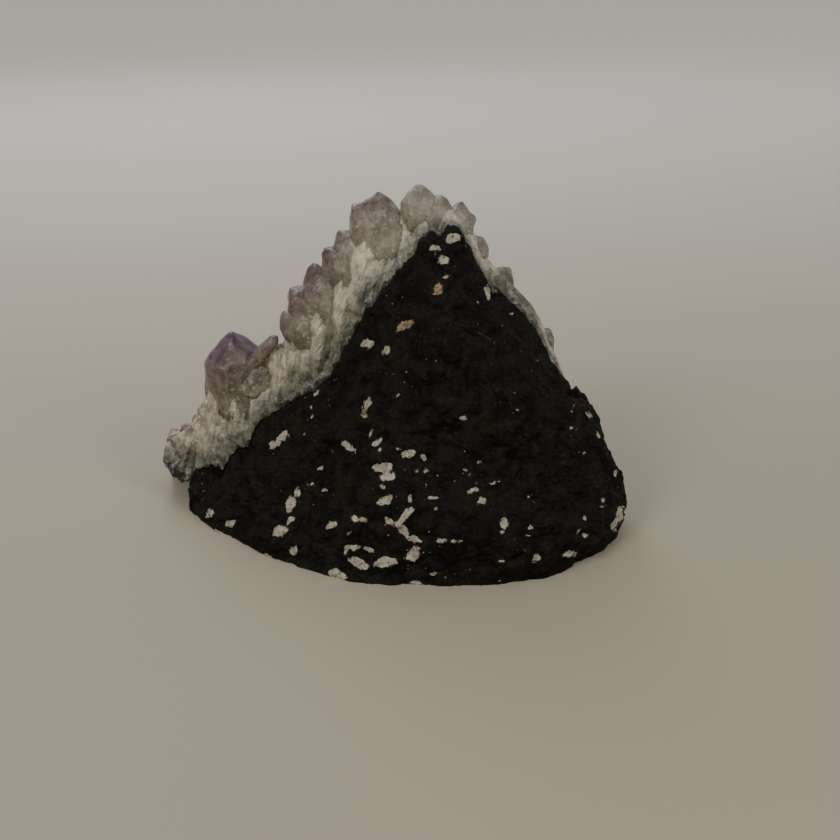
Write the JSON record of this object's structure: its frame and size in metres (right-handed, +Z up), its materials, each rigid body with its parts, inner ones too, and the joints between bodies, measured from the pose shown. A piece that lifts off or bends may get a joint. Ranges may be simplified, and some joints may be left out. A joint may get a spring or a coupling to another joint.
{
  "type": "amethyst cluster",
  "caption": "Piece of geode wall on a sawn flat base: dark rock in front, a pale quartz crust with purple amethyst points behind and along its ridge.",
  "frame": {"origin": "centre of the bounding box in X and Y, on the saw cut that the piece stands on", "axes": "+X along the ridge, to the right seen from the rock side; +Y away from the rock side, towards the crystals; +Z up"},
  "size_m": [0.1332, 0.0784, 0.0926],
  "materials": {
    "rock_matrix": "near-black basalt skin with a faint sheen and small cream mineral spots",
    "amethyst_crust": "milky grey-white quartz at the rock, purple-grey amethyst towards the points, fractured along the ridge"
  },
  "bodies": {
    "root": {"rock_matrix": "rock_matrix", "amethyst_crust": "amethyst_crust"}
  },
  "joints": []
}
